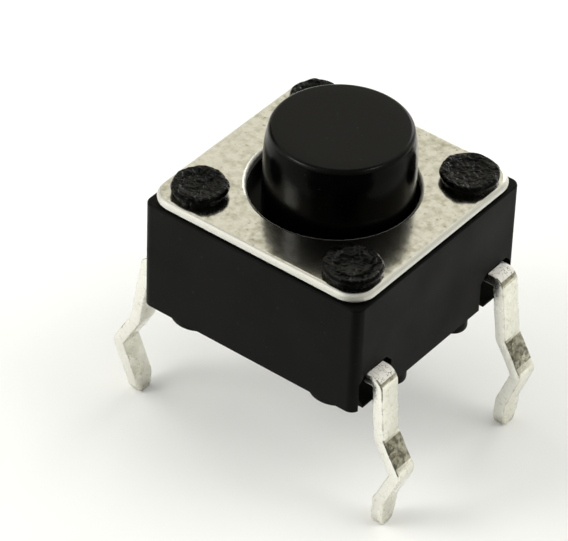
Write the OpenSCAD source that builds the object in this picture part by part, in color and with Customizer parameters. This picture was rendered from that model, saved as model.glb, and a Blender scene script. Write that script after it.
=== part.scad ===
// Tactile push button switch, square moulded body, through-hole leads.
// Millimetres, +Z up. The origin is the body's centre, on the board that its feet stand on.

/* [Body] */
// Width and depth of the square moulded body
body_side = 6.0; // [5.6:0.1:6.6]
// Height of the outer walls above the body's underside
wall_height = 2.89; // [2.7:0.05:3.3]
// Radius of the four upright corners
corner_radius = 0.23; // [0.1:0.01:0.4]
// Top of the well's floor above the body's underside
floor_height = 1.0; // [0.95:0.05:1.1]
// Height of the land that the cover sits on, above the outer walls
land_height = 0.04; // [0.02:0.01:0.08]
// Distance of the land's edge from the body's sides
land_inset = 0.16; // [0.1:0.01:0.25]

/* [Feet] */
// Height of the feet, which hold the body clear of the board
foot_height = 0.3; // [0.2:0.05:0.5]
// Radius of the four large feet
foot_radius = 0.68; // [0.5:0.02:0.8]
// Distance of the large feet from the centre, across the body
foot_x = 1.97; // [1.7:0.01:2.1]
// Distance of the large feet from the centre, along the body
foot_y = 2.2; // [2.0:0.01:2.25]
// Radius of the four small feet at the terminal sides
small_foot_radius = 0.33; // [0.25:0.01:0.4]
// Distance of the small feet from the centre, along the body
small_foot_y = 1.15; // [0.9:0.01:1.2]
// Rounding of the feet's lower edges
foot_round = 0.09; // [0.04:0.01:0.12]

/* [Lead notches] */
// Width of the notch behind each leg
notch_width = 1.16; // [1.0:0.02:1.24]
// Height of the notch above the body's underside
notch_height = 0.95; // [0.9:0.01:1.1]
// Depth of the notch into the wall
notch_depth = 0.38; // [0.3:0.01:0.45]
// Chamfer of the notch's upper corners
notch_chamfer = 0.2; // [0.1:0.01:0.25]
// Width of the ramp at the foot of the notch
ramp_width = 0.84; // [0.7:0.02:0.96]
// Height of the ramp where it meets the notch's back wall
ramp_height = 0.45; // [0.3:0.01:0.5]
// Height of the ramp's outer edge
ramp_lip = 0.05; // [0.03:0.01:0.1]

/* [Riveted posts] */
// Distance of each post's centre from the body's two nearest sides
post_inset = 0.866; // [0.84:0.01:0.9]
// Radius of the posts where they pass through the cover
post_radius = 0.5; // [0.4:0.01:0.52]
// Radius of the melted head where it leaves the cover
head_base_radius = 0.6; // [0.58:0.01:0.64]
// Largest radius of the melted head
head_radius = 0.66; // [0.65:0.01:0.7]
// Height of the head above the cover
head_height = 0.26; // [0.2:0.01:0.3]
// Radius of the dent that the forming tool leaves in the head
dent_radius = 0.4; // [0.3:0.01:0.45]
// Depth of that dent
dent_depth = 0.05; // [0.02:0.01:0.08]

/* [Cover plate] */
// Distance of the cover's edges from the body's sides
cover_inset = 0.04; // [0.02:0.01:0.1]
// Thickness of the cover sheet
cover_thickness = 0.2; // [0.15:0.01:0.25]
// Radius of the cover's corners
cover_corner = 0.6; // [0.4:0.05:0.8]
// Clearance between the posts and the cover's corner holes
post_gap = 0.03; // [0.02:0.01:0.06]

/* [Button] */
// Radius of the button where it passes through the cover
button_radius = 1.724; // [1.6:0.01:1.76]
// Radius of the button at its shoulder
shoulder_radius = 1.71; // [1.55:0.01:1.72]
// Height of that shoulder above the cover
shoulder_height = 0.98; // [0.8:0.02:1.2]
// Radius of the button just below its rounded top edge
crown_radius = 1.636; // [1.5:0.01:1.7]
// Rounding of the top edge
crown_round = 0.125; // [0.08:0.01:0.2]
// Height of the button's top above the board
button_top = 5.02; // [4.9:0.05:7]
// Clearance all round the centred button in the cover's hole
hole_play = 0.246; // [0.2:0.01:0.28]
// How far the button's flange reaches under the cover
flange_lip = 0.17; // [0.14:0.01:0.2]
// Thickness of the flange
flange_thickness = 0.45; // [0.35:0.01:0.55]
// Radius of the nub under the button
nub_radius = 0.6; // [0.4:0.02:0.8]
// How far the button lies off the centre, across the body
rest_x = 0.095; // [0:0.005:0.1]
// How far the button lies off the centre, along the body
rest_y = 0.075; // [0:0.005:0.08]
// Travel of the button
travel = 0.25; // [0.2:0.01:0.3]
// Clearance between the flange and the cover
flange_gap = 0.02; // [0.01:0.01:0.04]
// Clearance between the flange and the wall of the well
well_gap = 0.05; // [0.03:0.01:0.06]

/* [Contact dome] */
// Thickness of the spring sheet
dome_thickness = 0.07; // [0.05:0.01:0.09]
// Clearance between the dome's rim and the wall of the well
dome_gap = 0.26; // [0.2:0.01:0.35]
// Width of the dome's flat rim
dome_rim = 0.15; // [0.1:0.01:0.2]
// Clearance between the dome and the button's nub
nub_gap = 0.02; // [0.01:0.01:0.04]

/* [Terminals] */
// Thickness of the terminal strip
strip_thickness = 0.3; // [0.24:0.01:0.32]
// Height of the strip's underside above the body's underside
strip_height = 0.6; // [0.55:0.01:0.62]
// Distance between the two terminals
terminal_pitch = 4.5; // [4.44:0.02:4.56]
// Width of the legs and of the strip between them
leg_width = 0.6; // [0.5:0.02:0.7]
// Length of the legs below the board's upper face
leg_length = 3.07; // [2.95:0.01:3.6]
// Distance of a leg's upper end from the body's side, to its middle
leg_reach = 0.26; // [0.22:0.01:0.3]
// Width of the legs' cut ends
tip_width = 0.26; // [0.2:0.02:0.4]
// Height over which a leg narrows to its end
tip_height = 0.34; // [0.2:0.02:0.5]
// Bend radius at the middle of the sheet
bend_radius = 0.17; // [0.17:0.01:0.24]
// Height of the contact faces above the well's floor
contact_height = 0.06; // [0.04:0.01:0.1]
// Radius of the centre contact
centre_contact_radius = 0.45; // [0.3:0.01:0.5]
// Width of the arm that carries the centre contact
centre_arm_width = 0.7; // [0.5:0.02:1.0]
// Radius of the outer contacts, under the dome's rim
outer_contact_radius = 0.24; // [0.15:0.01:0.26]
// Direction of the outer contacts from the centre, from the cross axis
outer_contact_angle = 48; // [44:1:52]
// Width of the arms that carry the outer contacts
outer_arm_width = 0.5; // [0.4:0.02:0.54]

/* [Snap-in kinks] */
// Height of the legs' upper fold below the board's upper face
fold_drop = 0.52; // [0.4:0.02:0.65]
// Height of the kink's knee below the upper fold
knee_drop = 0.85; // [0.75:0.05:0.95]
// How far the knee stands out from the upper fold
knee_reach = 0.49; // [0.4:0.01:0.6]
// Height of the lower fold below the knee
lower_drop = 0.95; // [0.85:0.01:1.05]
// How far the lower fold stands out from the leg's end
lower_reach = 0.05; // [0:0.01:0.1]
// Outward set of the front right leg's fold from its upper end
front_right_fold = 0.12; // [0:0.01:0.3]
// Outward set of the front right leg's end from its upper end
front_right_tip = 0.14; // [0:0.01:0.3]
// Outward set of the back right leg's fold
back_right_fold = 0.19; // [0:0.01:0.35]
// Outward set of the back right leg's end
back_right_tip = 0.28; // [0:0.01:0.35]
// Outward set of the front left leg's fold
front_left_fold = 0.34; // [0:0.01:0.4]
// Outward set of the front left leg's end
front_left_tip = 0.38; // [0:0.01:0.4]
// How much lower the front left leg's kink lies than the others
front_left_drop = 0.36; // [0:0.01:0.4]
// Outward set of the back left leg's fold
back_left_fold = 0.18; // [0:0.01:0.3]
// Outward set of the back left leg's end
back_left_tip = 0.2; // [0:0.01:0.3]

/* [Hidden] */
$fn = 96;
eps = 0.01;
half_side = body_side / 2;
body_z = foot_height;
wall_z = body_z + wall_height;
cover_z = wall_z + land_height;
cover_top = cover_z + cover_thickness;
floor_z = body_z + floor_height;
strip_z = body_z + strip_height;
contact_z = floor_z + contact_height;
post_place = half_side - post_inset;
hole_radius = button_radius + hole_play;
flange_radius = hole_radius + flange_lip;
well_radius = flange_radius + norm([rest_x, rest_y]) + well_gap;
dome_radius = well_radius - dome_gap;
dome_top = contact_z + travel + dome_thickness;
nub_z = dome_top + nub_gap;
flange_top = cover_z - flange_gap;
flange_z = flange_top - flange_thickness;
terminal_y = terminal_pitch / 2;
leg_x = half_side + leg_reach;
outer_contact_place = dome_radius - outer_contact_radius / 2;
outer_contact_x = outer_contact_place * cos(outer_contact_angle);
outer_contact_y = outer_contact_place * sin(outer_contact_angle);

// Points of an arc about a centre, from one angle to another
function arc(centre, r, a0, a1, steps = 8) =
    [for (i = [0:steps]) centre + r * [cos(a0 + (a1 - a0) * i / steps), sin(a0 + (a1 - a0) * i / steps)]];

function unit(v) = v / norm(v);
function turned(v) = [-v.y, v.x];

// Rounds the corner at b, between a and c, with an arc
function bend(a, b, c, r, steps = 6) =
    let (
        u = unit(a - b),
        v = unit(c - b),
        half = acos(u * v) / 2,
        centre = b + unit(u + v) * r / sin(half),
        p = b + u * r / tan(half) - centre,
        q = b + v * r / tan(half) - centre,
        a0 = atan2(p.y, p.x),
        swing = atan2(p.x * q.y - p.y * q.x, p * q)
    )
    arc(centre, r, a0, a0 + swing, steps);

// Rounds every inner corner of a path
function rounded_path(p, r) =
    [p[0], for (i = [1:len(p) - 2]) each bend(p[i - 1], p[i], p[i + 1], r), p[len(p) - 1]];

// One side of a path, set off by a distance
function set_off(p, d) =
    [for (i = [0:len(p) - 1])
        let (
            before = i == 0 ? unit(p[1] - p[0]) : unit(p[i] - p[i - 1]),
            after = i == len(p) - 1 ? before : unit(p[i + 1] - p[i]),
            middle = unit(before + after)
        )
        p[i] + turned(middle) * d / (middle * after)];

function reversed(p) = [for (i = [len(p) - 1:-1:0]) p[i]];

// Outline of a strip of sheet metal that follows a path
function strip_outline(p, t) = concat(set_off(p, t / 2), reversed(set_off(p, -t / 2)));

module rounded_square(side, r) {
    square([side - 2 * r, side], center = true);
    square([side, side - 2 * r], center = true);
    for (x = [-1, 1], y = [-1, 1])
        translate([x * (side / 2 - r), y * (side / 2 - r)])
            circle(r);
}

module at_posts() {
    for (x = [-1, 1], y = [-1, 1])
        translate([x * post_place, y * post_place, 0])
            children();
}

module foot(r) {
    rotate_extrude()
        polygon(concat(
            [[0, body_z + eps], [0, 0]],
            arc([r - foot_round, foot_round], foot_round, -90, 0, 5),
            [[r, body_z + eps]]));
}

// A post and the head that a hot tool formed on it
module post() {
    bulge_z = cover_top + head_height * 0.4;
    rim_r = (head_radius - dent_radius) / 2;
    rotate_extrude()
        polygon(concat(
            [[0, wall_z], [post_radius, wall_z], [post_radius, cover_top], [head_base_radius, cover_top]],
            [[head_radius, bulge_z]],
            arc([head_radius - rim_r, cover_top + head_height - rim_r * 0.8], rim_r * 0.8, 20, 110, 5),
            [[dent_radius * 0.7, cover_top + head_height - dent_depth]],
            [[0, cover_top + head_height - dent_depth]]));
}

// The recess behind one leg, open to the side and below, on the +X wall
module notch() {
    h = body_z + notch_height;
    w = notch_width / 2;
    translate([half_side - notch_depth, 0, 0])
        rotate([90, 0, 90])
            linear_extrude(notch_depth + 1)
                polygon([
                    [-w, -eps], [w, -eps], [w, h - notch_chamfer],
                    [w - notch_chamfer, h], [notch_chamfer - w, h], [-w, h - notch_chamfer]]);
}

// The sloping foot of the notch
module ramp() {
    inner = half_side - notch_depth - eps;
    translate([0, ramp_width / 2, 0])
        rotate([90, 0, 0])
            linear_extrude(ramp_width)
                polygon([
                    [inner, body_z], [half_side, body_z],
                    [half_side, body_z + ramp_lip], [inner, body_z + ramp_height]]);
}

// The part of a terminal inside the body: a flat strip from wall to wall
module inner_strip(reach) {
    translate([-reach, -leg_width / 2, strip_z])
        cube([2 * reach, leg_width, strip_thickness]);
}

// An arm from the strip towards the centre, with a raised contact at its end
module contact_arm(x, y, width, r) {
    side = y > 0 ? 1 : -1;
    start = min(abs(y), terminal_y);
    translate([x - width / 2, side > 0 ? start : -terminal_y, strip_z])
        cube([width, terminal_y - start, strip_thickness]);
    translate([x, y, strip_z])
        cylinder(h = contact_z - strip_z, r = r);
}

module front_contact() {
    contact_arm(0, -eps, centre_arm_width, centre_contact_radius);
}

module back_contacts() {
    for (x = [-1, 1])
        contact_arm(x * outer_contact_x, outer_contact_y, outer_arm_width, outer_contact_radius);
}

// One leg, bent down at the wall and kinked so that it snaps into its hole
module leg(fold, tip, drop) {
    fold_z = -fold_drop - drop;
    path = [
        [half_side - notch_depth - strip_thickness, strip_z + strip_thickness / 2],
        [leg_x, strip_z + strip_thickness / 2],
        [leg_x + fold, fold_z],
        [leg_x + fold + knee_reach, fold_z - knee_drop],
        [leg_x + tip + lower_reach, fold_z - knee_drop - lower_drop],
        [leg_x + tip, -leg_length - strip_thickness]];
    w = leg_width / 2;
    intersection() {
        translate([0, w, 0])
            rotate([90, 0, 0])
                linear_extrude(leg_width)
                    polygon(strip_outline(rounded_path(path, bend_radius), strip_thickness));
        rotate([90, 0, 90])
            linear_extrude(half_side * 2)
                polygon([
                    [-tip_width / 2, -leg_length], [tip_width / 2, -leg_length],
                    [w - 0.03, tip_height - leg_length - 0.08], [w, tip_height - leg_length],
                    [w, body_z + wall_height], [-w, body_z + wall_height],
                    [-w, tip_height - leg_length], [0.03 - w, tip_height - leg_length - 0.08]]);
    }
}

module housing() {
    color([0.12, 0.12, 0.115])
        difference() {
            union() {
                translate([0, 0, body_z])
                    linear_extrude(wall_height)
                        rounded_square(body_side, corner_radius);
                translate([0, 0, wall_z - eps])
                    linear_extrude(land_height + eps)
                        rounded_square(body_side - 2 * land_inset, corner_radius);
                at_posts()
                    post();
                for (x = [-1, 1], y = [-1, 1]) {
                    translate([x * foot_x, y * foot_y, 0])
                        foot(foot_radius);
                    translate([x * (half_side - small_foot_radius), y * small_foot_y, 0])
                        foot(small_foot_radius);
                }
            }
            difference() {
                translate([0, 0, floor_z])
                    cylinder(h = body_z + wall_height, r = well_radius);
                for (x = [-1, 1])
                    translate([x * outer_contact_x, -outer_contact_y, 0])
                        cylinder(h = contact_z, r = outer_contact_radius);
            }
            for (turn = [0, 180], y = [-1, 1])
                rotate([0, 0, turn])
                    translate([0, y * terminal_y, 0])
                        difference() {
                            notch();
                            ramp();
                        }
            for (y = [-1, 1])
                translate([0, y * terminal_y, 0])
                    inner_strip(half_side);
            front_contact();
            back_contacts();
        }
}

module cover_plate() {
    color([0.78, 0.77, 0.72])
        translate([0, 0, cover_z])
            difference() {
                linear_extrude(cover_thickness)
                    rounded_square(body_side - 2 * cover_inset, cover_corner);
                translate([0, 0, -1])
                    cylinder(h = cover_thickness + 2, r = hole_radius);
                at_posts()
                    translate([0, 0, -1])
                        cylinder(h = cover_thickness + 2, r = post_radius + post_gap);
            }
}

module button() {
    color([0.1, 0.1, 0.1])
        translate([rest_x, rest_y, 0])
            rotate_extrude()
                polygon(concat(
                    [[0, nub_z], [nub_radius, nub_z], [nub_radius, flange_z]],
                    [[flange_radius, flange_z], [flange_radius, flange_top], [button_radius, flange_top]],
                    [[button_radius, cover_top], [shoulder_radius, cover_top + shoulder_height]],
                    arc([crown_radius - crown_round, button_top - crown_round], crown_round, 0, 90),
                    [[0, button_top]]));
}

// A snap dome: a shallow cap on a narrow flat rim
module contact_dome() {
    chord = dome_radius - dome_rim;
    cap_radius = (chord * chord + travel * travel) / (2 * travel);
    spread = asin(chord / cap_radius);
    under = arc([0, contact_z + travel - cap_radius], cap_radius, 90, 90 - spread, 10);
    lower = concat(under, [[dome_radius, contact_z]]);
    color([0.75, 0.74, 0.7])
        rotate_extrude()
            polygon(concat(lower, reversed([for (p = lower) p + [0, dome_thickness]])));
}

module front_terminal() {
    color([0.82, 0.8, 0.74]) {
        translate([0, -terminal_y, 0]) {
            inner_strip(half_side - notch_depth);
            leg(front_right_fold, front_right_tip, 0);
            mirror([1, 0, 0])
                leg(front_left_fold, front_left_tip, front_left_drop);
        }
        front_contact();
    }
}

module back_terminal() {
    color([0.82, 0.8, 0.74]) {
        translate([0, terminal_y, 0]) {
            inner_strip(half_side - notch_depth);
            leg(back_right_fold, back_right_tip, 0);
            mirror([1, 0, 0])
                leg(back_left_fold, back_left_tip, 0);
        }
        back_contacts();
    }
}

housing();
cover_plate();
button();
contact_dome();
front_terminal();
back_terminal();
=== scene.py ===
import math

import bmesh
import bpy
from mathutils import Matrix, Vector, noise


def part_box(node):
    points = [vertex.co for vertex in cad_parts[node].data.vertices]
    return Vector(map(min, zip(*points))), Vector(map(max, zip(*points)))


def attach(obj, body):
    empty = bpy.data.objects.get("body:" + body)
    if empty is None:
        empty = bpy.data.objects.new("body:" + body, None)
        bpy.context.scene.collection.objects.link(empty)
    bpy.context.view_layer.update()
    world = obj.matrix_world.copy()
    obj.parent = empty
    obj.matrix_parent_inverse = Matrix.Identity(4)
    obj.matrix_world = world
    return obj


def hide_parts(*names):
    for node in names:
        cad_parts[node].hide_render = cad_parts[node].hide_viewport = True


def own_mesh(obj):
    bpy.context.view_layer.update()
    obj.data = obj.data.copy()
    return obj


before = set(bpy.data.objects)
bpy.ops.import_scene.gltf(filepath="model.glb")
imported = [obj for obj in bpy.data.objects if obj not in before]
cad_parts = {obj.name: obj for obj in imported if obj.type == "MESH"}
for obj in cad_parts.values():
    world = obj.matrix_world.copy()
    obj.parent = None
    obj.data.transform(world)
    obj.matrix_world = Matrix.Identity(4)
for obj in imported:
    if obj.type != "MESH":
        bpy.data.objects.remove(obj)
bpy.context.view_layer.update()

# Camera. A long lens looks down on the front right corner of the switch from a little under
# forty degrees, and is held very slightly tilted.
MM = 0.001
camera_azimuth = math.radians(36.74)
camera_height = math.radians(39.38)
camera_tilt = math.radians(2.20)
camera_distance = 89.18 * MM
camera_lens = 252.8
aimed_at = Vector((0, 0, 2.3 * MM))
aim_left = 1.069 * MM
aim_down = 1.059 * MM

toward_camera = Vector((
    math.sin(camera_azimuth) * math.cos(camera_height),
    -math.cos(camera_azimuth) * math.cos(camera_height),
    math.sin(camera_height)))
level_right = Vector((math.cos(camera_azimuth), math.sin(camera_azimuth), 0))
level_up = toward_camera.cross(level_right)
camera_right = math.cos(camera_tilt) * level_right + math.sin(camera_tilt) * level_up
camera_up = math.cos(camera_tilt) * level_up - math.sin(camera_tilt) * level_right
camera_place = (aimed_at - aim_left * camera_right - aim_down * camera_up
                + camera_distance * toward_camera)

camera = bpy.data.objects.new("camera", bpy.data.cameras.new("camera"))
bpy.context.scene.collection.objects.link(camera)
camera.data.sensor_width = 36
camera.data.lens = camera_lens
camera.data.clip_start = 1 * MM
camera.data.clip_end = 5
camera.matrix_world = Matrix.Translation(camera_place) @ Matrix(
    (camera_right, camera_up, toward_camera)).transposed().to_4x4()
bpy.context.scene.camera = camera
bpy.context.scene.view_settings.view_transform = "Standard"


# Housing. The base of black nylon, moulded in one piece round the terminals: square walls
# round a well, feet under it, and a notch behind each leg. Its posts go up through the cover.
cover_low, cover_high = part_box("cover_plate")
body_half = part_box("housing")[1].x
cover_gap = 0.04 * MM
wall_top = cover_low.z - cover_gap
wall_edge_round = 0.045 * MM
wall_edge_inset = 0.12 * MM
flow_mark = 1.4 * MM
mould_grain = 0.06 * MM
dust_speck = 0.11 * MM


def merged_copy(node):
    """A copy of a CAD node's mesh, with its loose triangles joined into whole faces."""
    bm = bmesh.new()
    bm.from_mesh(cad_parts[node].data)
    bmesh.ops.remove_doubles(bm, verts=bm.verts, dist=0.0002 * MM)
    bmesh.ops.dissolve_limit(
        bm, angle_limit=math.radians(0.6), verts=bm.verts, edges=bm.edges)
    return bm


def is_corner(edge, degrees=40):
    """True where two faces meet at more than the given angle."""
    return len(edge.link_faces) == 2 and edge.calc_face_angle(0) > math.radians(degrees)


def middle(edge):
    """The point halfway along an edge."""
    return (edge.verts[0].co + edge.verts[1].co) / 2


def round_edges(bm, edges, width, segments=4):
    """Rolls the given edges over to a radius."""
    bmesh.ops.bevel(
        bm, geom=edges, offset=width, offset_type="OFFSET", affect="EDGES",
        segments=segments, profile=0.5, material=-1, clamp_overlap=False)


def shade(bm, flat_area, crease=35):
    """Smooth shading on faces smaller than an area in square mm, with sharp corners."""
    for face in bm.faces:
        face.smooth = face.calc_area() < flat_area * MM * MM
    for edge in bm.edges:
        edge.smooth = not is_corner(edge, crease)


def colour(code):
    """Linear colour of an sRGB hex code."""
    parts = [int(code[i:i + 2], 16) / 255 for i in (1, 3, 5)]
    return [p / 12.92 if p <= 0.04045 else ((p + 0.055) / 1.055) ** 2.4 for p in parts] + [1]


def add(tree, kind, settings=None, inputs=None):
    """Adds a node, sets its properties, and sets or links its inputs.

    A colour mix has its factor in socket 0, its two colours in 6 and 7, and its result in 2.
    """
    node = tree.nodes.new(kind)
    for name, value in (settings or {}).items():
        setattr(node, name, value)
    for name, value in (inputs or {}).items():
        if isinstance(value, bpy.types.NodeSocket):
            tree.links.new(value, node.inputs[name])
        else:
            node.inputs[name].default_value = value
    return node


def new_material(name):
    """An empty material with its node tree and its object coordinates."""
    material = bpy.data.materials.new(name)
    material.use_nodes = True
    material.node_tree.nodes.clear()
    place = add(material.node_tree, "ShaderNodeTexCoord").outputs["Object"]
    return material, material.node_tree, place


def moulded_nylon():
    """Glass-filled nylon from a satin mould: near black, with faint flow marks and dust.

    The mould's grain is drawn coarser than it is, so that it shows.
    """
    material, tree, place = new_material("moulded_black_nylon")
    flow = add(tree, "ShaderNodeTexNoise", {}, {
        "Vector": place, "Scale": 1 / flow_mark, "Detail": 3})
    grain = add(tree, "ShaderNodeTexNoise", {}, {
        "Vector": place, "Scale": 1 / mould_grain, "Detail": 3, "Roughness": 0.6})
    dust = add(tree, "ShaderNodeTexNoise", {}, {
        "Vector": place, "Scale": 1 / dust_speck, "Detail": 1})
    specks = add(tree, "ShaderNodeMapRange", {}, {
        "Value": dust.outputs["Fac"], "From Min": 0.73, "From Max": 0.78})
    gloss = add(tree, "ShaderNodeMapRange", {}, {
        "Value": flow.outputs["Fac"], "From Min": 0.3, "From Max": 0.7,
        "To Min": 0.42, "To Max": 0.55})
    black = add(tree, "ShaderNodeMix", {"data_type": "RGBA"}, {
        0: flow.outputs["Fac"], 6: colour("#080807"), 7: colour("#0c0c0b")})
    dusty = add(tree, "ShaderNodeMix", {"data_type": "RGBA"}, {
        0: specks.outputs["Result"], 6: black.outputs[2], 7: colour("#1a1a18")})
    bump = add(tree, "ShaderNodeBump", {}, {
        "Strength": 0.3, "Distance": 0.006 * MM, "Height": grain.outputs["Fac"]})
    shader = add(tree, "ShaderNodeBsdfPrincipled", {}, {
        "Base Color": dusty.outputs[2], "Roughness": gloss.outputs["Result"],
        "Normal": bump.outputs[0], "IOR": 1.45, "Specular IOR Level": 0.08})
    add(tree, "ShaderNodeOutputMaterial", {}, {"Surface": shader.outputs[0]})
    return material


def new_object(name, bm, materials):
    """Makes a bmesh an object of the scene, with its materials."""
    mesh = bpy.data.meshes.new(name)
    bm.to_mesh(mesh)
    bm.free()
    made = bpy.data.objects.new(name, mesh)
    bpy.context.scene.collection.objects.link(made)
    for material in materials:
        mesh.materials.append(material)
    return made


def finish_piece(name, bm, materials, body, node=None):
    """Makes a bmesh a piece that rides on a body, and that may stand for a CAD node."""
    piece = new_object(name, bm, materials)
    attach(piece, body)
    if node:
        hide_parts(node)
    return piece


# The posts are cut off just above the cover, because their melted heads are pieces of their own.
bm = merged_copy("housing")
bmesh.ops.bisect_plane(
    bm, geom=bm.verts[:] + bm.edges[:] + bm.faces[:], dist=0.0001 * MM,
    plane_co=(0, 0, cover_high.z + 0.002 * MM), plane_no=(0, 0, 1), clear_outer=True)
bmesh.ops.holes_fill(bm, edges=[e for e in bm.edges if e.is_boundary])
wall_edges = [e for e in bm.edges if is_corner(e, 60)
              and abs(middle(e).z - wall_top) < 0.005 * MM
              and max(abs(middle(e).x), abs(middle(e).y)) > body_half - wall_edge_inset]
round_edges(bm, wall_edges, wall_edge_round, 3)
shade(bm, 0.04)
finish_piece("housing_moulding", bm, [moulded_nylon()], "base", "housing")


# Terminals. Two strips of tin-plated brass, stamped and bent: each runs through the body from
# leg to leg, and arms on it carry the contacts. The legs are kinked to snap into the board.
strip_thickness = 0.3 * MM
strip_width = 0.6 * MM
strip_middle = 1.05 * MM
strip_out = 2.25 * MM
bend_radius = 0.17 * MM
leg_start = body_half + 0.26 * MM
fold_drop = 0.52 * MM
knee_drop = 0.85 * MM
knee_reach = 0.49 * MM
lower_drop = 0.95 * MM
lower_reach = 0.05 * MM
tip_width = 0.26 * MM
tip_height = 0.34 * MM
tip_cut = 0.05 * MM
# How far down the kink the painted dark reflection reaches, as a share of its drop.
painted_reflection_share = 0.7
leg_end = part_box("front_terminal")[0].z
stamped_round = 0.05 * MM
feed_step = 0.06 * MM
hand_bend = 0.012 * MM
hand_bend_size = 0.3 * MM
hand_bend_seed = 3
contact_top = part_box("front_terminal")[1].z
contact_round = 0.02 * MM
tin_ripple = 0.1 * MM
tin_cloud = 0.35 * MM
tin_stain = 0.12 * MM
tin_crack = 0.15 * MM
# The slots of a strip's materials. Four are the same tin in other tones: a painted dark
# reflection on the kink, painted shade on the bend and on the rounded edges, and painted light
# on the narrow faces.
plain, painted_dark_reflection, crazed, bent, darker_tone, sheared = range(6)
# Each strip's side of the body, and for its left and its right leg, in mm: how far out the
# fold and the tip splay, and how much lower than on other legs the kink sits.
legs = {
    "front_terminal": (-1, (0.34, 0.38, 0.36), (0.12, 0.14, 0)),
    "back_terminal": (1, (0.18, 0.20, 0), (0.19, 0.28, 0)),
}
# Each contact's place, half the width of its arm, and its radius, in mm.
contacts = {
    "front_terminal": [(0, 0, 0.35, 0.45)],
    "back_terminal": [(-1.292, 1.435, 0.25, 0.24), (1.292, 1.435, 0.25, 0.24)],
}


def tinned_brass(name, bright, dull, stain_colour, stained_above, wave):
    """Tin plate over stamped brass: a soft creamy mirror with ripples and dull stains."""
    material, tree, place = new_material(name)
    cloud = add(tree, "ShaderNodeTexNoise", {}, {
        "Vector": place, "Scale": 1 / tin_cloud, "Detail": 2})
    ripple = add(tree, "ShaderNodeTexNoise", {}, {
        "Vector": place, "Scale": 1 / tin_ripple, "Detail": 1})
    stain = add(tree, "ShaderNodeTexNoise", {}, {
        "Vector": place, "Scale": 1 / tin_stain, "Detail": 3, "Roughness": 0.6})
    stained = add(tree, "ShaderNodeMapRange", {}, {
        "Value": stain.outputs["Fac"], "From Min": stained_above, "From Max": stained_above + 0.2})
    gloss = add(tree, "ShaderNodeMapRange", {}, {
        "Value": cloud.outputs["Fac"], "From Min": 0.3, "From Max": 0.7,
        "To Min": 0.2, "To Max": 0.34})
    cream = add(tree, "ShaderNodeMix", {"data_type": "RGBA"}, {
        0: cloud.outputs["Fac"], 6: colour(bright), 7: colour(dull)})
    metal = add(tree, "ShaderNodeMix", {"data_type": "RGBA"}, {
        0: stained.outputs["Result"], 6: cream.outputs[2], 7: colour(stain_colour)})
    bump = add(tree, "ShaderNodeBump", {}, {
        "Strength": wave, "Distance": 0.01 * MM, "Height": ripple.outputs["Fac"]})
    shader = add(tree, "ShaderNodeBsdfPrincipled", {}, {
        "Base Color": metal.outputs[2], "Roughness": gloss.outputs["Result"],
        "Normal": bump.outputs[0], "Metallic": 1})
    add(tree, "ShaderNodeOutputMaterial", {}, {"Surface": shader.outputs[0]})
    return material


def leg_corners(side, fold, tip, drop):
    """Where a leg's middle line turns, from the wall to its end, as (x, z)."""
    fold_z = -fold_drop - drop
    return [Vector((side * x, z)) for x, z in [
        (leg_start, strip_middle),
        (leg_start + fold, fold_z),
        (leg_start + fold + knee_reach, fold_z - knee_drop),
        (leg_start + tip + lower_reach, fold_z - knee_drop - lower_drop),
        (leg_start + tip, leg_end)]]


def feed(bm, face, vector):
    """Pushes the strip on by a vector, in short even steps, and gives its new end."""
    steps = max(1, round(vector.length / feed_step))
    for _ in range(steps):
        face = bmesh.ops.extrude_discrete_faces(bm, faces=[face])["faces"][0]
        bmesh.ops.translate(bm, verts=face.verts, vec=vector / steps)
    return face


def bend(bm, face, centre, angle):
    """Swings the strip's end round a bend's centre, and gives its new end."""
    steps = max(2, round(abs(angle) / math.radians(9)))
    for _ in range(steps):
        face = bmesh.ops.extrude_discrete_faces(bm, faces=[face])["faces"][0]
        bmesh.ops.rotate(bm, verts=face.verts, cent=centre,
                         matrix=Matrix.Rotation(angle / steps, 3, "Y"))
    return face


def formed_strip(corners):
    """A strip with rounded edges that is fed and bent along a line of corners."""
    start, first = corners[0], corners[1]
    heading = (first - start).normalized()
    bm = bmesh.new()
    bmesh.ops.create_grid(bm, x_segments=1, y_segments=1, size=0.5)
    bmesh.ops.scale(bm, verts=bm.verts, vec=(strip_thickness, strip_width, 1))
    bmesh.ops.bevel(bm, geom=bm.verts[:], offset=stamped_round, offset_type="OFFSET",
                    affect="VERTICES", segments=3, profile=0.5, material=-1)
    turn = Vector((0, 0, 1)).rotation_difference(Vector((heading.x, 0, heading.y)))
    bmesh.ops.rotate(bm, verts=bm.verts, cent=(0, 0, 0), matrix=turn.to_matrix())
    bmesh.ops.translate(bm, verts=bm.verts, vec=(start.x, 0, start.y))
    face = bm.faces[:][0]
    place = start
    for before, corner, after in zip(corners, corners[1:], corners[2:]):
        inward = (corner - before).normalized()
        outward = (after - corner).normalized()
        swing = inward.angle_signed(outward)
        reach = bend_radius * math.tan(abs(swing) / 2)
        entry = corner - inward * reach
        face = feed(bm, face, Vector((entry.x - place.x, 0, entry.y - place.y)))
        side = Vector((inward.y, -inward.x)) * (1 if swing > 0 else -1)
        centre = entry + side * bend_radius
        face = bend(bm, face, (centre.x, 0, centre.y), swing)
        place = corner + outward * reach
    feed(bm, face, Vector((corners[-1].x - place.x, 0, corners[-1].y - place.y)))
    bmesh.ops.holes_fill(bm, edges=[e for e in bm.edges if e.is_boundary])
    return bm


def narrow_tips(bm):
    """Draws the leg's last stretch in to its narrow end, which is cut level."""
    narrow = tip_width / strip_width
    for vertex in bm.verts:
        vertex.co.z = max(vertex.co.z, leg_end)
        above_tip = (vertex.co.z - leg_end) / tip_height
        if above_tip < 1:
            vertex.co.y *= narrow + (1 - narrow) * math.sqrt(max(above_tip, 0))


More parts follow.
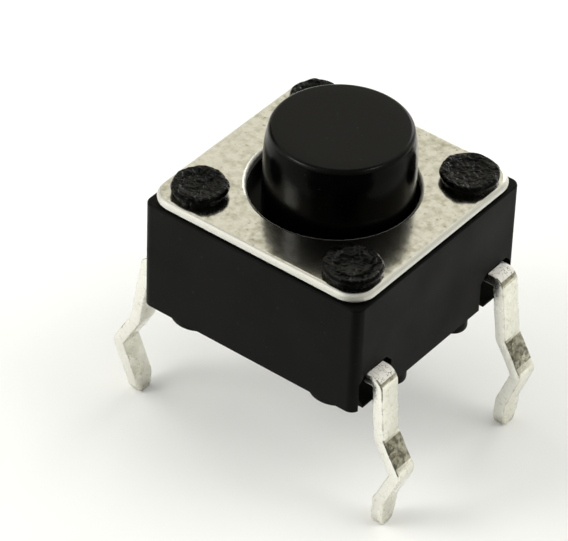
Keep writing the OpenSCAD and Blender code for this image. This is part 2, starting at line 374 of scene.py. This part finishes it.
def add_contact(bm, x, y, arm_half, radius, strip_y):
    """Adds an arm from the strip towards a contact, and the raised contact on its end."""
    arm_low = strip_middle - strip_thickness / 2
    arm = bmesh.ops.create_cube(bm, size=1)["verts"]
    bmesh.ops.scale(bm, verts=arm, vec=(2 * arm_half, abs(strip_y - y), strip_thickness))
    bmesh.ops.translate(bm, verts=arm, vec=(x, (strip_y + y) / 2, strip_middle))
    disc = bmesh.ops.create_cone(
        bm, cap_ends=True, segments=48, radius1=radius, radius2=radius,
        depth=contact_top - arm_low)["verts"]
    bmesh.ops.translate(bm, verts=disc, vec=(x, y, (contact_top + arm_low) / 2))
    rims = [e for e in bm.edges if e.verts[0] in disc and is_corner(e, 60)]
    round_edges(bm, rims, contact_round, 2)


def strip_skin(face, fold, knee):
    """The slot of a face's material, by where the face lies and which way it turns.

    The fold and the knee are corners of the face's own leg, as (x, z).
    """
    spot = face.calc_center_median()
    outward = face.normal.x * math.copysign(1, spot.x)
    outside = abs(spot.x) > body_half
    on_kink = fold.y > spot.z > fold.y + painted_reflection_share * (knee.y - fold.y)
    # The kink's outward faces get a darker tin: a painted dark reflection.
    if on_kink and face.normal.z > 0.3 and outward > 0.6:
        return painted_dark_reflection
    # The shoulder's top is crazed tin, and the bend under it gets a darker tin: painted shade.
    if outside and face.normal.z > 0.35 and spot.z > 0:
        return crazed if face.normal.z > 0.65 else bent
    # The rounded edges between a leg's faces get a little darker tin: painted shade.
    if outside and 0.35 < abs(face.normal.y) < 0.94:
        return darker_tone
    # The narrow faces get a paler tin with fewer stains: painted light.
    if abs(face.normal.y) > 0.94:
        return sheared
    return plain


def crazed_tin():
    """Dull tin that crazed where the strip was bent over: pale, with curly dark cracks."""
    material, tree, place = new_material("crazed_tin")
    skin = add(tree, "ShaderNodeTexNoise", {}, {
        "Vector": place, "Scale": 1 / tin_crack, "Detail": 1})
    from_crack = add(tree, "ShaderNodeMath", {"operation": "COMPARE"}, {
        0: skin.outputs["Fac"], 1: 0.5, 2: 0.012})
    metal = add(tree, "ShaderNodeMix", {"data_type": "RGBA"}, {
        0: from_crack.outputs[0], 6: colour("#fefbf0"), 7: colour("#8d897e")})
    bump = add(tree, "ShaderNodeBump", {}, {
        "Strength": 0.6, "Distance": 0.02 * MM, "Height": skin.outputs["Fac"]})
    shader = add(tree, "ShaderNodeBsdfPrincipled", {}, {
        "Base Color": metal.outputs[2], "Roughness": 0.5, "Normal": bump.outputs[0],
        "Metallic": 0.1})
    add(tree, "ShaderNodeOutputMaterial", {}, {"Surface": shader.outputs[0]})
    return material


tin = tinned_brass("tinned_brass_strip", "#f9f8ef", "#e8e6d7", "#d0cdbc", 0.55, 0.4)
# A paler tin with fewer stains for the narrow faces: painted light.
tin_painted_light_narrow_face = tinned_brass("tinned_brass_painted_light_narrow_face", "#f7f6f0", "#ecebe1", "#d4d1c2", 0.58, 0.4)
# A darker tin for the bend under the shoulder: painted shade.
tin_painted_bend_shade = tinned_brass("tinned_brass_painted_bend_shade", "#dad8c9", "#c4c1b0", "#9d9a8d", 0.48, 0.8)
# A darker tin for the kink's outward faces: a painted dark reflection.
tin_painted_dark_reflection = tinned_brass("tinned_brass_painted_dark_reflection", "#c8c5b4", "#b2af9e", "#7a776b", 0.42, 1)
# A little darker tin for the rounded edges between a leg's faces: painted shade.
tin_painted_edge_shade = tinned_brass("tinned_brass_painted_edge_shade", "#efeee4", "#dedccf", "#b4b1a2", 0.5, 0.4)
tins = [tin, tin_painted_dark_reflection, crazed_tin(), tin_painted_bend_shade, tin_painted_edge_shade, tin_painted_light_narrow_face]
# Noise vectors start from the clock unless they are given a seed.
noise.seed_set(hand_bend_seed)
for node, (side_y, left, right) in legs.items():
    left_leg = leg_corners(-1, *(size * MM for size in left))
    right_leg = leg_corners(1, *(size * MM for size in right))
    bm = formed_strip(left_leg[::-1] + right_leg)
    bmesh.ops.recalc_face_normals(bm, faces=bm.faces)
    narrow_tips(bm)
    # Outside the body the strips are a little uneven, each in its own way. The tips stay level.
    shift = Vector((0, 0, 11.7 * side_y))
    for vertex in bm.verts:
        if abs(vertex.co.x) > body_half and vertex.co.z > leg_end + tip_cut:
            vertex.co += hand_bend * noise.noise_vector(vertex.co / hand_bend_size + shift)
    strip_y = side_y * strip_out
    bmesh.ops.translate(bm, verts=bm.verts, vec=(0, strip_y, 0))
    for x, y, arm_half, radius in contacts[node]:
        add_contact(bm, x * MM, y * MM, arm_half * MM, radius * MM, strip_y)
    for face in bm.faces:
        leg = right_leg if face.calc_center_median().x > 0 else left_leg
        face.smooth = True
        face.material_index = strip_skin(face, *leg[1:3])
    for edge in bm.edges:
        edge.smooth = not is_corner(edge, 60)
    finish_piece(node + "_strip", bm, tins, "base", node)


# Snap dome. A thin disc of spring steel, domed so that it clicks flat onto the centre contact
# under the button and springs back. It lies loose in the well.
roll_line = 0.03 * MM


def spring_steel():
    """Bright rolled spring steel with the faint lines of the rolls."""
    material, tree, place = new_material("rolled_spring_steel")
    stretched = add(tree, "ShaderNodeMapping", {}, {"Vector": place, "Scale": (0.05, 1, 1)})
    lines = add(tree, "ShaderNodeTexNoise", {}, {
        "Vector": stretched.outputs[0], "Scale": 1 / roll_line, "Detail": 2})
    gloss = add(tree, "ShaderNodeMapRange", {}, {
        "Value": lines.outputs["Fac"], "From Min": 0.3, "From Max": 0.7,
        "To Min": 0.18, "To Max": 0.3})
    bump = add(tree, "ShaderNodeBump", {}, {
        "Strength": 0.2, "Distance": 0.003 * MM, "Height": lines.outputs["Fac"]})
    shader = add(tree, "ShaderNodeBsdfPrincipled", {}, {
        "Base Color": colour("#c9c6bd"), "Roughness": gloss.outputs["Result"],
        "Normal": bump.outputs[0], "Metallic": 1})
    add(tree, "ShaderNodeOutputMaterial", {}, {"Surface": shader.outputs[0]})
    return material


bm = merged_copy("contact_dome")
shade(bm, 5)
dome = finish_piece("snap_dome", bm, [spring_steel()], "base", "contact_dome")
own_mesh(dome)


# Button. A round plunger moulded in black plastic, in one piece with the flange that keeps it
# under the cover and the nub that presses the dome. It lies a little off the hole's middle.
button_low, button_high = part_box("button")
button_centre = (button_low + button_high) / 2
flange_radius = (button_high.x - button_low.x) / 2
flange_gap = 0.02 * MM
flange_thickness = 0.45 * MM
flange_top = cover_low.z - flange_gap
flange_bottom = flange_top - flange_thickness
flange_round = 0.05 * MM
groove_radius = 2.02 * MM
groove_depth = 0.25 * MM
groove_bottom = flange_top - groove_depth
button_radius = 1.724 * MM
shoulder_radius = 1.71 * MM
shoulder_height = cover_high.z + 0.98 * MM
crown_radius = 1.636 * MM
crown_round = 0.125 * MM
nub_radius = 0.6 * MM
button_cloud = 1.1 * MM
button_grain = 0.045 * MM
button_scuff = 0.07 * MM


def button_plastic(name, dark, light, smooth, rough, shine):
    """Moulded black plastic with tiny pale scuffs, and a grain drawn coarse enough to show."""
    material, tree, place = new_material(name)
    cloud = add(tree, "ShaderNodeTexNoise", {}, {
        "Vector": place, "Scale": 1 / button_cloud, "Detail": 2})
    grain = add(tree, "ShaderNodeTexNoise", {}, {
        "Vector": place, "Scale": 1 / button_grain, "Detail": 3, "Roughness": 0.6})
    scuffs = add(tree, "ShaderNodeTexNoise", {}, {
        "Vector": place, "Scale": 1 / button_scuff, "Detail": 2})
    marks = add(tree, "ShaderNodeMapRange", {}, {
        "Value": scuffs.outputs["Fac"], "From Min": 0.72, "From Max": 0.77})
    gloss = add(tree, "ShaderNodeMapRange", {}, {
        "Value": cloud.outputs["Fac"], "From Min": 0.3, "From Max": 0.7,
        "To Min": smooth, "To Max": rough})
    black = add(tree, "ShaderNodeMix", {"data_type": "RGBA"}, {
        0: cloud.outputs["Fac"], 6: colour(dark), 7: colour(light)})
    marked = add(tree, "ShaderNodeMix", {"data_type": "RGBA"}, {
        0: marks.outputs["Result"], 6: black.outputs[2], 7: colour("#2a2a28")})
    bump = add(tree, "ShaderNodeBump", {}, {
        "Strength": 0.3, "Distance": 0.007 * MM, "Height": grain.outputs["Fac"]})
    shader = add(tree, "ShaderNodeBsdfPrincipled", {}, {
        "Base Color": marked.outputs[2], "Roughness": gloss.outputs["Result"],
        "Normal": bump.outputs[0], "IOR": 1.45, "Specular IOR Level": shine})
    add(tree, "ShaderNodeOutputMaterial", {}, {"Surface": shader.outputs[0]})
    return material


def arc(centre, radius, first, last, steps):
    """Points of an arc, with its angles in degrees."""
    turns = [math.radians(first + (last - first) * i / steps) for i in range(steps + 1)]
    return [(centre[0] + radius * math.cos(t), centre[1] + radius * math.sin(t)) for t in turns]


def curve_through(points, steps=6):
    """Points along a smooth curve through the given ones."""
    held = [points[0], *points, points[-1]]
    curve = []
    for a, b, c, d in zip(held, held[1:], held[2:], held[3:]):
        for i in range(steps):
            t = i / steps
            curve.append(tuple(
                0.5 * (2 * q + (r - p) * t + (2 * p - 5 * q + 4 * r - s) * t * t
                       + (3 * q - p - 3 * r + s) * t ** 3)
                for p, q, r, s in zip(a, b, c, d)))
    return curve + [points[-1]]


def spun(profile, steps):
    """A solid turned from a profile of (radius, height) points."""
    bm = bmesh.new()
    points = [bm.verts.new((r, 0, z)) for r, z in profile]
    edges = [bm.edges.new(pair) for pair in zip(points, points[1:])]
    bmesh.ops.spin(
        bm, geom=points + edges, cent=(0, 0, 0), axis=(0, 0, 1), dvec=(0, 0, 0),
        angle=math.tau, steps=steps, use_merge=True)
    bmesh.ops.remove_doubles(bm, verts=bm.verts, dist=0.0005 * MM)
    bmesh.ops.recalc_face_normals(bm, faces=bm.faces)
    return bm


profile = [(0, button_low.z), (nub_radius, button_low.z), (nub_radius, flange_bottom)]
flange_edge = flange_radius - flange_round
profile += arc((flange_edge, flange_bottom + flange_round), flange_round, -90, 0, 4)
profile += arc((flange_edge, flange_top - flange_round), flange_round, 0, 90, 4)
profile += [(groove_radius, flange_top), (groove_radius, groove_bottom),
            (button_radius, groove_bottom), (button_radius, cover_high.z)]
profile += curve_through([
    (button_radius, cover_high.z + 0.01 * MM), (shoulder_radius, shoulder_height),
    (crown_radius, button_high.z - crown_round)])[1:]
crown_edge = crown_radius - crown_round
profile += arc((crown_edge, button_high.z - crown_round), crown_round, 0, 90, 8)[1:]
profile += [(crown_edge * part, button_high.z) for part in (0.8, 0.6, 0.4, 0.2, 0)]
bm = spun(profile, 160)
bmesh.ops.translate(bm, verts=bm.verts, vec=(button_centre.x, button_centre.y, 0))
shade(bm, 5, 50)
# The flat top is matt, and its lighter black is partly painted light on the face that looks
# up; the edge round it is rubbed.
for face in bm.faces:
    if face.calc_center_median().z > shoulder_height and face.normal.z > 0.45:
        face.material_index = 1 if face.normal.z > 0.99 else 2
polished = button_plastic("polished_black_plastic", "#010101", "#030303", 0.14, 0.24, 0.06)
# A lighter black for the flat top: a matt finish, and partly painted light.
matt_with_painted_light = button_plastic("matt_black_plastic_with_painted_light", "#0a0a09", "#111110", 0.36, 0.46, 0.12)
rubbed = button_plastic("rubbed_black_plastic", "#010101", "#0b0b0a", 0.14, 0.3, 0.2)
finish_piece("button_moulding", bm, [polished, matt_with_painted_light, rubbed], "plunger",
             "button")


# Cover plate. A stamped sheet of nickel-plated steel that closes the body and holds the
# button in. The press leaves its upper edges rolled over, and its lower rim a little round.
cover_rim_round = 0.125 * MM
cover_under_round = 0.07 * MM
cover_hole_round = 0.09 * MM
cover_half = cover_high.x
cover_rim_inset = 0.2 * MM
hole_reach = 2.1 * MM
hole_drawn_in = 0.985
plate_cloud = 1.0 * MM
plate_patch = 0.2 * MM
plate_pit = 0.1 * MM
plate_grain = 0.05 * MM


def nickel_sheet():
    """Satin nickel on stamped sheet: a soft mirror, cloudy and pitted, duller where rolled."""
    material, tree, place = new_material("satin_nickel_sheet")
    cloud = add(tree, "ShaderNodeTexNoise", {}, {
        "Vector": place, "Scale": 1 / plate_cloud, "Detail": 3})
    patch = add(tree, "ShaderNodeTexNoise", {}, {
        "Vector": place, "Scale": 1 / plate_patch, "Detail": 2})
    pit = add(tree, "ShaderNodeTexNoise", {}, {
        "Vector": place, "Scale": 1 / plate_pit, "Detail": 1})
    grain = add(tree, "ShaderNodeTexNoise", {}, {
        "Vector": place, "Scale": 1 / plate_grain, "Detail": 2})
    cloudy = add(tree, "ShaderNodeMapRange", {}, {
        "Value": cloud.outputs["Fac"], "From Min": 0.3, "From Max": 0.6})
    dark = add(tree, "ShaderNodeMapRange", {}, {
        "Value": patch.outputs["Fac"], "From Min": 0.4, "From Max": 0.7})
    # Large clouds gather the darker patches: real mottle, and partly painted reflection, so that
    # some parts of the plate are darker than others.
    darker_tone = add(tree, "ShaderNodeMath", {"operation": "MULTIPLY"}, {
        0: cloudy.outputs["Result"], 1: dark.outputs["Result"]})
    pits = add(tree, "ShaderNodeMapRange", {}, {
        "Value": pit.outputs["Fac"], "From Min": 0.7, "From Max": 0.78, "To Max": 0.7})
    facing = add(tree, "ShaderNodeSeparateXYZ", {}, {
        "Vector": add(tree, "ShaderNodeNewGeometry").outputs["Normal"]})
    flat = add(tree, "ShaderNodeMapRange", {}, {
        "Value": facing.outputs["Z"], "From Min": 0.9, "From Max": 0.99})
    gloss = add(tree, "ShaderNodeMapRange", {}, {
        "Value": flat.outputs["Result"], "To Min": 0.6, "To Max": 0.16})
    nickel = add(tree, "ShaderNodeMix", {"data_type": "RGBA"}, {
        0: grain.outputs["Fac"], 6: colour("#f6f5ee"), 7: colour("#ebe9df")})
    # The mottle and the painted reflection, in a darker nickel.
    mottle_and_painted_reflection = add(tree, "ShaderNodeMix", {"data_type": "RGBA"}, {
        0: darker_tone.outputs[0], 6: nickel.outputs[2], 7: colour("#bdbbab")})
    pitted = add(tree, "ShaderNodeMix", {"data_type": "RGBA"}, {
        0: pits.outputs["Result"], 6: mottle_and_painted_reflection.outputs[2], 7: colour("#99968a")})
    metal = add(tree, "ShaderNodeMix", {"data_type": "RGBA"}, {
        0: flat.outputs["Result"], 6: colour("#f0f0eb"), 7: pitted.outputs[2]})
    bump = add(tree, "ShaderNodeBump", {}, {
        "Strength": 0.3, "Distance": 0.004 * MM, "Height": patch.outputs["Fac"]})
    shader = add(tree, "ShaderNodeBsdfPrincipled", {}, {
        "Base Color": metal.outputs[2], "Roughness": gloss.outputs["Result"],
        "Normal": bump.outputs[0], "Metallic": 1})
    add(tree, "ShaderNodeOutputMaterial", {}, {"Surface": shader.outputs[0]})
    return material


def cover_edges(bm, height, near_hole):
    """The cover's edges at a height, round the button's hole or round the outer rim."""
    level = [e for e in bm.edges if is_corner(e) and abs(middle(e).z - height) < 0.01 * MM]
    if near_hole:
        return [e for e in level if middle(e).xy.length < hole_reach]
    return [e for e in level if middle(e).xy.length > hole_reach
            and max(abs(middle(e).x), abs(middle(e).y)) > cover_half - cover_rim_inset]


# The hole for the button is drawn in by a small share of its radius.
bm = merged_copy("cover_plate")
for vertex in bm.verts:
    if vertex.co.xy.length < hole_reach:
        vertex.co.xy *= hole_drawn_in
round_edges(bm, cover_edges(bm, cover_low.z, False), cover_under_round)
round_edges(bm, cover_edges(bm, cover_high.z, False), cover_rim_round, 6)
round_edges(bm, cover_edges(bm, cover_high.z, True), cover_hole_round)
shade(bm, 0.05)
finish_piece("cover_plate_sheet", bm, [nickel_sheet()], "base", "cover_plate")


# Melted heads. Each post was pressed down by a hot tool after the cover went on. The plastic
# spread, a little off the post, into a crinkled button with a raised ring round a dent.
head_place = 2.134 * MM
# Each head's corner, how far off its place there it lies in mm, and how widely it spread. The
# second one, in front, came out smoother than the others.
heads = [
    (-1, -1, 0.045, -0.005, 1), (1, -1, 0.045, -0.02, 1.05),
    (1, 1, 0.065, -0.04, 1.04), (-1, 1, 0.045, -0.06, 1)]
head_radius = 0.66 * MM
head_base = 0.60 * MM
head_height = 0.24 * MM
dent_radius = 0.40 * MM
dent_depth = 0.05 * MM
crinkle_height = 0.035 * MM
crinkle_size = 0.16 * MM
crinkle_start = 0.08 * MM
swell_size = 0.4 * MM
fold_size = 0.36 * MM
fold_grain = 0.12 * MM


def melted_nylon(name, wrinkle, shine):
    """The same nylon after melting: glossier, and wrinkled where the tool let go."""
    material, tree, place = new_material(name)
    folds = add(tree, "ShaderNodeTexNoise", {}, {
        "Vector": place, "Scale": 1 / fold_size, "Detail": 1, "Distortion": 0.8})
    grain = add(tree, "ShaderNodeTexNoise", {}, {
        "Vector": place, "Scale": 1 / fold_grain, "Detail": 1})
    off_fold = add(tree, "ShaderNodeMath", {"operation": "SUBTRACT"}, {
        0: folds.outputs["Fac"], 1: 0.5})
    from_fold = add(tree, "ShaderNodeMath", {"operation": "ABSOLUTE"}, {0: off_fold.outputs[0]})
    ridges = add(tree, "ShaderNodeMapRange", {}, {
        "Value": from_fold.outputs[0], "From Max": 0.06})
    height = add(tree, "ShaderNodeMath", {"operation": "MULTIPLY_ADD"}, {
        0: ridges.outputs["Result"], 1: 0.5, 2: grain.outputs["Fac"]})
    gloss = add(tree, "ShaderNodeMapRange", {}, {
        "Value": grain.outputs["Fac"], "From Min": 0.3, "From Max": 0.7,
        "To Min": 0.2, "To Max": 0.36})
    # The black follows the wrinkles, lighter along the fold lines and darker between them: painted
    # light and shade of the wrinkles.
    black = add(tree, "ShaderNodeMix", {"data_type": "RGBA"}, {
        0: ridges.outputs["Result"], 6: colour("#0b0b0a"), 7: colour("#020202")})
    bump = add(tree, "ShaderNodeBump", {}, {
        "Strength": wrinkle, "Distance": 0.1 * MM, "Height": height.outputs[0]})
    shader = add(tree, "ShaderNodeBsdfPrincipled", {}, {
        "Base Color": black.outputs[2], "Roughness": gloss.outputs["Result"],
        "Normal": bump.outputs[0], "IOR": 1.45, "Specular IOR Level": shine})
    add(tree, "ShaderNodeOutputMaterial", {}, {"Surface": shader.outputs[0]})
    return material


def melted_head(turn, wrinkle):
    """One head, at the centre: a spun mushroom whose skin is pushed about by noise.

    The skin moves fully from the crinkles' start upwards, and its foot stays on the cover.
    """
    base = cover_high.z
    top = base + head_height
    rim = head_radius - 0.02 * MM
    profile = curve_through([
        (head_base, base), (head_base + 0.01 * MM, base + 0.05 * MM),
        (head_radius - 0.01 * MM, base + 0.15 * MM), (rim, top - 0.05 * MM)], 4)
    profile += curve_through([
        (rim - 0.003 * MM, top - 0.035 * MM), (rim - 0.03 * MM, top - 0.005 * MM),
        (rim - 0.08 * MM, top), (dent_radius + 0.05 * MM, top - 0.012 * MM),
        (dent_radius, top - dent_depth * 0.8), (dent_radius - 0.08 * MM, top - dent_depth),
        (0.2 * MM, top - dent_depth * 0.9), (0.1 * MM, top - dent_depth * 0.85),
        (0, top - dent_depth * 0.85)], 4)
    bm = spun([(0, base)] + profile, 96)
    shift = Vector((turn * 7.3, turn * 3.1, 0))
    for vertex in bm.verts:
        above = min((vertex.co.z - base) / crinkle_start, 1)
        outward = vertex.co.xy.length / head_radius
        swell = noise.noise(vertex.co / swell_size + shift)
        crease = 0.3 - abs(noise.noise(vertex.co / crinkle_size + shift))
        vertex.co.z += above * crinkle_height * (0.9 * swell + wrinkle * crease)
        vertex.co.xy *= 1 + above * outward * (0.045 * swell + 0.02 * wrinkle * crease)
    for face in bm.faces:
        face.smooth = True
    return bm


wrinkled = melted_nylon("melted_nylon_wrinkled", 0.45, 0.16)
smoothed = melted_nylon("melted_nylon_smooth", 0.2, 0.4)
drawn = melted_nylon("melted_nylon_drawn_side", 0.25, 0.08)
for number, (side_x, side_y, off_x, off_y, spread) in enumerate(heads):
    front = number == 1
    bm = melted_head(number, 0.3 if front else 1)
    bmesh.ops.scale(bm, verts=bm.verts, vec=(spread, spread, 1))
    for face in bm.faces:
        face.material_index = 0 if face.normal.z > (0.8 if front else 0.5) else 1
    bmesh.ops.translate(bm, verts=bm.verts, vec=(
        side_x * head_place + off_x * MM, side_y * head_place + off_y * MM, 0))
    finish_piece(f"melted_head_{number + 1}", bm, [smoothed if front else wrinkled, drawn],
                 "base")


# Floor and light. A sheet of white card by a wide window on the left, with soft lamps round
# it and above. The room has a cream wall behind, and is dimmer on the right and in front.
floor_half = 600 * MM
card_fibre = 2.5 * MM
wall_distance = 250 * MM
wall_height = 450 * MM


def facing_in(azimuth, height, distance):
    """A place round the switch, by its direction in degrees, and the turn to face it from."""
    turn = math.radians(azimuth)
    rise = math.radians(height)
    way = Vector((math.cos(turn) * math.cos(rise), math.sin(turn) * math.cos(rise),
                  math.sin(rise)))
    return way * distance, way.to_track_quat("Z", "Y")


def studio_object(name, bm, material):
    """Makes a bmesh an object of the room, with its material, on no body of the switch."""
    thing = new_object(name, bm, [material])
    return thing


def white_card():
    """Matt white card. The camera sees its shadows a little lifted."""
    material, tree, place = new_material("matt_white_card")
    fibre = add(tree, "ShaderNodeTexNoise", {}, {
        "Vector": place, "Scale": 1 / card_fibre, "Detail": 3})
    white = add(tree, "ShaderNodeMix", {"data_type": "RGBA"}, {
        0: fibre.outputs["Fac"], 6: colour("#fefef8"), 7: colour("#fbfbf4")})
    seen = add(tree, "ShaderNodeLightPath")
    lift = add(tree, "ShaderNodeMath", {"operation": "MULTIPLY"}, {
        0: seen.outputs["Is Camera Ray"], 1: 0.14})
    card = add(tree, "ShaderNodeBsdfDiffuse", {}, {"Color": white.outputs[2]})
    glow = add(tree, "ShaderNodeEmission")
    both = add(tree, "ShaderNodeMixShader", {}, {
        0: lift.outputs[0], 1: card.outputs[0], 2: glow.outputs[0]})
    add(tree, "ShaderNodeOutputMaterial", {}, {"Surface": both.outputs[0]})
    return material


def reflected_card(name, bm, shade_code):
    """A plain part of the room that only reflections see."""
    material, tree, _ = new_material(name)
    glow = add(tree, "ShaderNodeEmission", {}, {"Color": colour(shade_code)})
    add(tree, "ShaderNodeOutputMaterial", {}, {"Surface": glow.outputs[0]})
    card = studio_object(name, bm, material)
    card.visible_camera = False
    card.visible_diffuse = False
    card.visible_shadow = False


def lamp(name, azimuth, height, distance, width, tall, power, reflected=True):
    """A soft lamp, placed by its direction in degrees, that faces the switch."""
    place, turn = facing_in(azimuth, height, distance)
    light = bpy.data.objects.new(name, bpy.data.lights.new(name, "AREA"))
    light.data.shape = "RECTANGLE"
    light.data.size = width
    light.data.size_y = tall
    light.data.energy = power
    light.location = place
    light.rotation_euler = turn.to_euler()
    light.visible_glossy = reflected
    bpy.context.scene.collection.objects.link(light)


def wall(name, first, last, shade_code):
    """A curved wall round the table, between two directions in degrees."""
    bm = bmesh.new()
    foot = bm.verts.new((wall_distance, 0, leg_end))
    head = bm.verts.new((wall_distance, 0, wall_height))
    edge = bm.edges.new((foot, head))
    bmesh.ops.spin(bm, geom=[foot, head, edge], cent=(0, 0, 0), axis=(0, 0, 1),
                   angle=math.radians(last - first), steps=40)
    bmesh.ops.rotate(bm, verts=bm.verts, cent=(0, 0, 0),
                     matrix=Matrix.Rotation(math.radians(first), 3, "Z"))
    reflected_card(name, bm, shade_code)


bm = bmesh.new()
bmesh.ops.create_grid(bm, x_segments=1, y_segments=1, size=floor_half)
bmesh.ops.translate(bm, verts=bm.verts, vec=(0, 0, leg_end))
studio_object("floor", bm, white_card())

# A grey card on the left, which darkens part of what the metal reflects.
place, turn = facing_in(172, 27, 160 * MM)
bm = bmesh.new()
bmesh.ops.create_circle(bm, cap_ends=True, segments=48, radius=45 * MM)
bmesh.ops.rotate(bm, verts=bm.verts, cent=(0, 0, 0), matrix=turn.to_matrix())
bmesh.ops.translate(bm, verts=bm.verts, vec=place)
reflected_card("left_gap_card", bm, "#62625d")

# A dim patch of floor in front, for reflections alone.
bm = bmesh.new()
bmesh.ops.create_circle(bm, cap_ends=True, segments=48, radius=24 * MM)
bmesh.ops.translate(bm, verts=bm.verts, vec=(20 * MM, -26.5 * MM, leg_end + 0.02 * MM))
reflected_card("dim_floor_in_front", bm, "#4a4a46")

wall("cream_wall", 60, 265, "#e4e1d2")
wall("dim_wall", -20, 60, "#a9a799")
wall("camera_side_wall", -95, -20, "#6e6c63")

lamp("left_window", 203, 30, 280 * MM, 400 * MM, 180 * MM, 0.63, reflected=False)
lamp("right_lamp", 38, 50, 200 * MM, 150 * MM, 150 * MM, 0.13, reflected=False)
lamp("left_lamp", 231, 43, 200 * MM, 60 * MM, 60 * MM, 0.075)
lamp("small_lamp", 16, 57, 200 * MM, 40 * MM, 40 * MM, 0.022)
lamp("back_lamp", 98, 20, 200 * MM, 70 * MM, 120 * MM, 0.07)
lamp("top_lamp", 90, 89, 200 * MM, 180 * MM, 180 * MM, 0.11, reflected=False)

room = bpy.data.worlds.new("white_room")
bpy.context.scene.world = room
room.use_nodes = True
room.node_tree.nodes.clear()
walls = add(room.node_tree, "ShaderNodeBackground", {}, {
    "Color": colour("#ffffff"), "Strength": 0.19})
add(room.node_tree, "ShaderNodeOutputWorld", {}, {"Surface": walls.outputs[0]})
